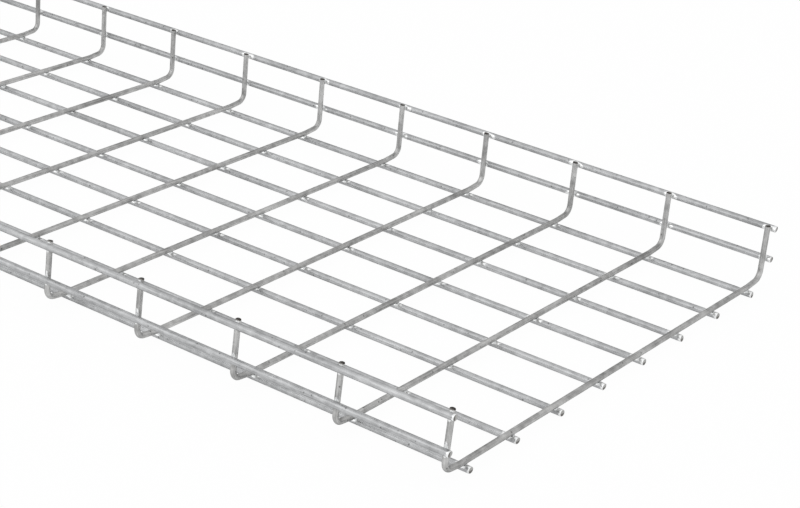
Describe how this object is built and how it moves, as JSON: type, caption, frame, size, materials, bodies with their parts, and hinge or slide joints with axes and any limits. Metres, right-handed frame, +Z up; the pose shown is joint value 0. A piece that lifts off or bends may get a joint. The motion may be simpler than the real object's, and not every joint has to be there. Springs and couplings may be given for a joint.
{
  "type": "wire mesh cable tray",
  "caption": "Open U-shaped cable tray of welded galvanised wire: bent cross wires inside straight lengthwise wires, with an open mesh base and low mesh sides.",
  "frame": {"origin": "centre of the tray in the plane of the undersides of the base wires", "axes": "+X along the tray, +Y across it to the left wall, +Z up out of the open channel"},
  "size_m": [3.0132, 0.5216, 0.0625],
  "materials": {
    "zinc_wire": "zinc-coated drawn wire, satin grey with fine drawing lines and bright weld spots"
  },
  "bodies": {
    "root": {"base_wire_1": "zinc_wire", "base_wire_2": "zinc_wire", "base_wire_3": "zinc_wire", "base_wire_4": "zinc_wire", "base_wire_5": "zinc_wire", "base_wire_6": "zinc_wire", "base_wire_7": "zinc_wire", "base_wire_8": "zinc_wire", "right_middle_wire": "zinc_wire", "right_top_wire": "zinc_wire", "left_middle_wire": "zinc_wire", "left_top_wire": "zinc_wire", "cross_wire_01": "zinc_wire", "cross_wire_02": "zinc_wire", "cross_wire_03": "zinc_wire", "cross_wire_04": "zinc_wire", "cross_wire_05": "zinc_wire", "cross_wire_06": "zinc_wire", "cross_wire_07": "zinc_wire", "cross_wire_08": "zinc_wire", "cross_wire_09": "zinc_wire", "cross_wire_10": "zinc_wire", "cross_wire_11": "zinc_wire", "cross_wire_12": "zinc_wire", "cross_wire_13": "zinc_wire", "cross_wire_14": "zinc_wire", "cross_wire_15": "zinc_wire", "cross_wire_16": "zinc_wire", "cross_wire_17": "zinc_wire", "cross_wire_18": "zinc_wire", "cross_wire_19": "zinc_wire", "cross_wire_20": "zinc_wire", "cross_wire_21": "zinc_wire", "cross_wire_22": "zinc_wire", "cross_wire_23": "zinc_wire", "cross_wire_24": "zinc_wire", "cross_wire_25": "zinc_wire", "cross_wire_26": "zinc_wire", "cross_wire_27": "zinc_wire", "cross_wire_28": "zinc_wire", "cross_wire_29": "zinc_wire", "cross_wire_30": "zinc_wire", "cross_wire_31": "zinc_wire"}
  },
  "joints": []
}
